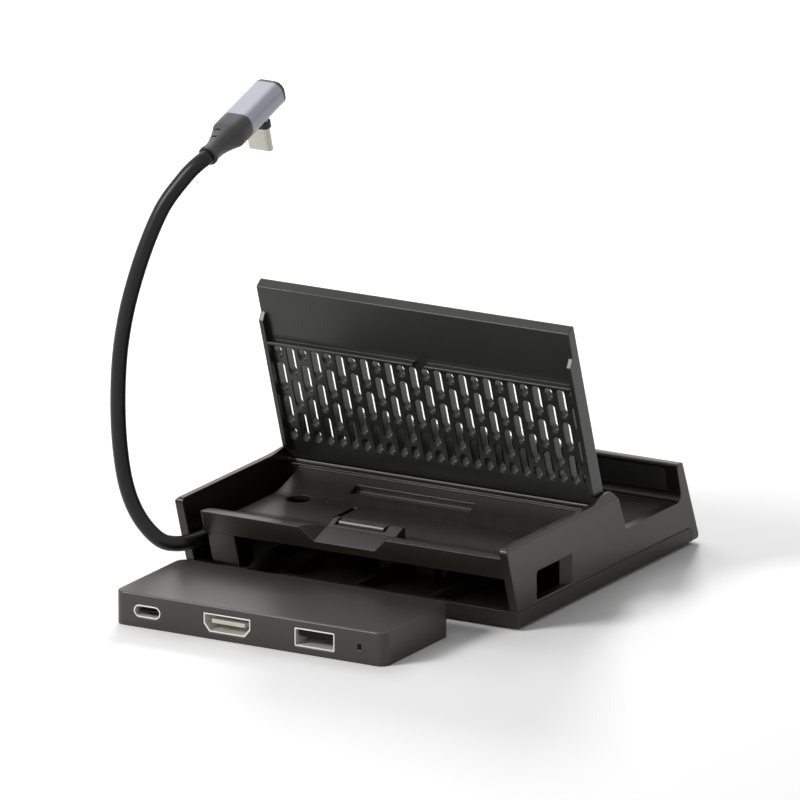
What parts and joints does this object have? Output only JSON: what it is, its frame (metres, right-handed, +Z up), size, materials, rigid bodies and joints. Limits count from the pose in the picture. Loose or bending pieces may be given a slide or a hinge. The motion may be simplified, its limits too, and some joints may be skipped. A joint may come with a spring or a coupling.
{
  "type": "handheld console dock",
  "caption": "Desk dock for a handheld games console: dished tray, fold-down slotted back rest, padded trough, and a port hub on a short lead with an angled plug.",
  "frame": {"origin": "middle of the box round the dock and its hub, without the lead, on the table under them", "axes": "+X to the right seen from the hub's side, +Y from the hub back to the dock's back wall, +Z up"},
  "size_m": [0.1332, 0.1642, 0.1501],
  "materials": {
    "housing_plastic": "charcoal moulded ABS, fine even texture",
    "pan_plastic": "charcoal moulded ABS, fine even texture",
    "foot_rubber": "matt black rubber",
    "screw_steel": "plain zinc-plated steel",
    "rest_plastic": "charcoal moulded ABS, fine even texture",
    "pin_steel": "ground steel",
    "mat_rubber": "speckled grey silicone mat",
    "pad_rubber": "matt dark silicone pad",
    "hub_metal": "dark grey anodised, fine blasted",
    "cover_plastic": "dark moulded plastic",
    "board_laminate": "green lacquered circuit board",
    "chip_plastic": "black moulded chip bodies",
    "port_metal": "bright nickel-plated pressed steel",
    "tongue_plastic": "black moulded insulator",
    "lens_plastic": "clear diffusing lens, unlit",
    "collar_rubber": "black moulded PVC",
    "cable_jacket": "black semi-gloss PVC jacket",
    "boot_rubber": "dark grey soft-touch moulding",
    "sleeve_metal": "pale silver anodised, satin",
    "cap_plastic": "dark grey polished plastic",
    "tip_metal": "bright plated steel"
  },
  "bodies": {
    "root": {"upper_housing": "housing_plastic", "bottom_pan": "pan_plastic", "rubber_feet": "foot_rubber", "pan_screws": "screw_steel", "hinge_pins": "pin_steel", "trough_mat": "mat_rubber", "back_wall_pad": "pad_rubber", "hub_top_shell": "hub_metal", "hub_bottom_cover": "cover_plastic", "hub_board": "board_laminate", "hub_chips": "chip_plastic", "hub_screws": "screw_steel", "usb_c_port_shell": "port_metal", "usb_c_port_tongue": "tongue_plastic", "video_port_shell": "port_metal", "video_port_tongue": "tongue_plastic", "usb_a_port_shell": "port_metal", "usb_a_port_tongue": "tongue_plastic", "lamp_lens": "lens_plastic", "cable_collar": "collar_rubber", "cable": "cable_jacket", "plug_boot": "boot_rubber", "plug_sleeve": "sleeve_metal", "plug_end_cap": "cap_plastic", "plug_collar": "collar_rubber", "plug_tip_shell": "tip_metal", "plug_tip_core": "tongue_plastic"},
    "back_rest_body": {"back_rest": "rest_plastic"}
  },
  "joints": [
    {"name": "back_rest_hinge", "type": "hinge", "parent": "root", "child": "back_rest_body", "pos_m": [0, 0.02837, 0.0262], "axis": [1, 0, 0], "range_deg": [0, 72.2]}
  ]
}
